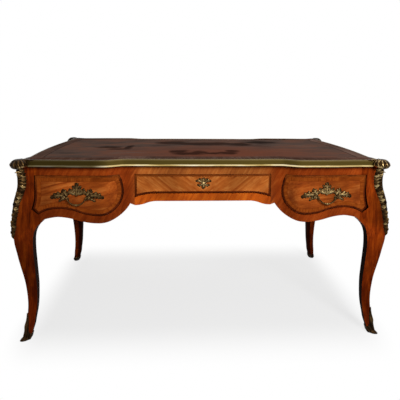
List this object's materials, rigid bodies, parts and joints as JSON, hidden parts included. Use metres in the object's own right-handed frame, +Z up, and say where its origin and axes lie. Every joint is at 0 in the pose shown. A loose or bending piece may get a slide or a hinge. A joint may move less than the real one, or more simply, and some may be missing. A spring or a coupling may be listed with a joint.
{
  "type": "writing desk",
  "caption": "Flat-topped writing desk with cabriole legs, serpentine frieze drawers, leather writing surface and gilt bronze mounts.",
  "frame": {"origin": "on the floor, under the middle of the top", "axes": "+X along the front to the sitter's right, -Y towards the sitter, +Z up"},
  "size_m": [1.6, 0.83, 0.7841],
  "materials": {
    "kingwood_veneer": "french polished veneer",
    "dark_moulding": "polished dark wood",
    "oak": "plain sawn oak",
    "edge_brass": "polished brass",
    "gilt_bronze": "aged gilt bronze",
    "leather": "worn desk leather",
    "lock_steel": "old filed steel"
  },
  "bodies": {
    "carcass": {"back_frieze": "kingwood_veneer", "back_handle_mounts": "gilt_bronze", "chute_front_left": "gilt_bronze", "chute_front_right": "gilt_bronze", "chute_rear_left": "gilt_bronze", "chute_rear_right": "gilt_bronze", "corner_clasp_front_left": "gilt_bronze", "corner_clasp_front_right": "gilt_bronze", "corner_clasp_rear_left": "gilt_bronze", "corner_clasp_rear_right": "gilt_bronze", "drawer_divider_left": "kingwood_veneer", "drawer_divider_right": "kingwood_veneer", "drawer_kickers": "oak", "drawer_runners": "oak", "drawer_stops": "oak", "edge_moulding_back": "edge_brass", "edge_moulding_front": "edge_brass", "edge_moulding_left": "edge_brass", "edge_moulding_right": "edge_brass", "end_frieze_left": "kingwood_veneer", "end_frieze_right": "kingwood_veneer", "front_apron_centre": "kingwood_veneer", "front_apron_left": "kingwood_veneer", "front_apron_right": "kingwood_veneer", "front_top_rail": "kingwood_veneer", "leather_inset": "leather", "leg_front_left": "kingwood_veneer", "leg_front_right": "kingwood_veneer", "leg_rear_left": "kingwood_veneer", "leg_rear_right": "kingwood_veneer", "panel_mouldings": "dark_moulding", "partitions": "oak", "sabot_front_left": "gilt_bronze", "sabot_front_right": "gilt_bronze", "sabot_rear_left": "gilt_bronze", "sabot_rear_right": "gilt_bronze", "top_board": "oak", "top_crossbanding": "kingwood_veneer"},
    "drawer_left": {"drawer_left_front": "kingwood_veneer", "drawer_left_moulding": "dark_moulding", "drawer_left_box": "oak", "drawer_left_bottom": "oak", "handle_mount_left": "gilt_bronze"},
    "drawer_right": {"drawer_right_front": "kingwood_veneer", "drawer_right_moulding": "dark_moulding", "drawer_right_box": "oak", "drawer_right_bottom": "oak", "handle_mount_right": "gilt_bronze"},
    "drawer_centre": {"drawer_centre_front": "kingwood_veneer", "drawer_centre_moulding": "dark_moulding", "drawer_centre_box": "oak", "drawer_centre_bottom": "oak", "escutcheon": "gilt_bronze", "lock_case": "lock_steel"},
    "bail_left": {"bail_left": "gilt_bronze"},
    "bail_right": {"bail_right": "gilt_bronze"},
    "back_bail_left": {"back_bail_left": "gilt_bronze"},
    "back_bail_right": {"back_bail_right": "gilt_bronze"},
    "lock_bolt": {"lock_bolt": "lock_steel"}
  },
  "joints": [
    {"name": "drawer_left_slide", "type": "slide", "parent": "carcass", "child": "drawer_left", "axis": [0, -1, 0], "range_m": [0, 0.4]},
    {"name": "drawer_right_slide", "type": "slide", "parent": "carcass", "child": "drawer_right", "axis": [0, -1, 0], "range_m": [0, 0.4]},
    {"name": "drawer_centre_slide", "type": "slide", "parent": "carcass", "child": "drawer_centre", "axis": [0, -1, 0], "range_m": [0, 0.4]},
    {"name": "bail_left_swing", "type": "hinge", "parent": "drawer_left", "child": "bail_left", "pos_m": [-0.535, -0.37653, 0.619], "axis": [-1, 0, 0], "range_deg": [0, 95]},
    {"name": "back_bail_left_swing", "type": "hinge", "parent": "carcass", "child": "back_bail_left", "pos_m": [-0.535, 0.37653, 0.619], "axis": [1, 0, 0], "range_deg": [0, 95]},
    {"name": "bail_right_swing", "type": "hinge", "parent": "drawer_right", "child": "bail_right", "pos_m": [0.535, -0.37653, 0.619], "axis": [-1, 0, 0], "range_deg": [0, 95]},
    {"name": "back_bail_right_swing", "type": "hinge", "parent": "carcass", "child": "back_bail_right", "pos_m": [0.535, 0.37653, 0.619], "axis": [1, 0, 0], "range_deg": [0, 95]},
    {"name": "lock_bolt_slide", "type": "slide", "parent": "drawer_centre", "child": "lock_bolt", "axis": [0, 0, 1], "range_m": [0, 0.009]}
  ]
}
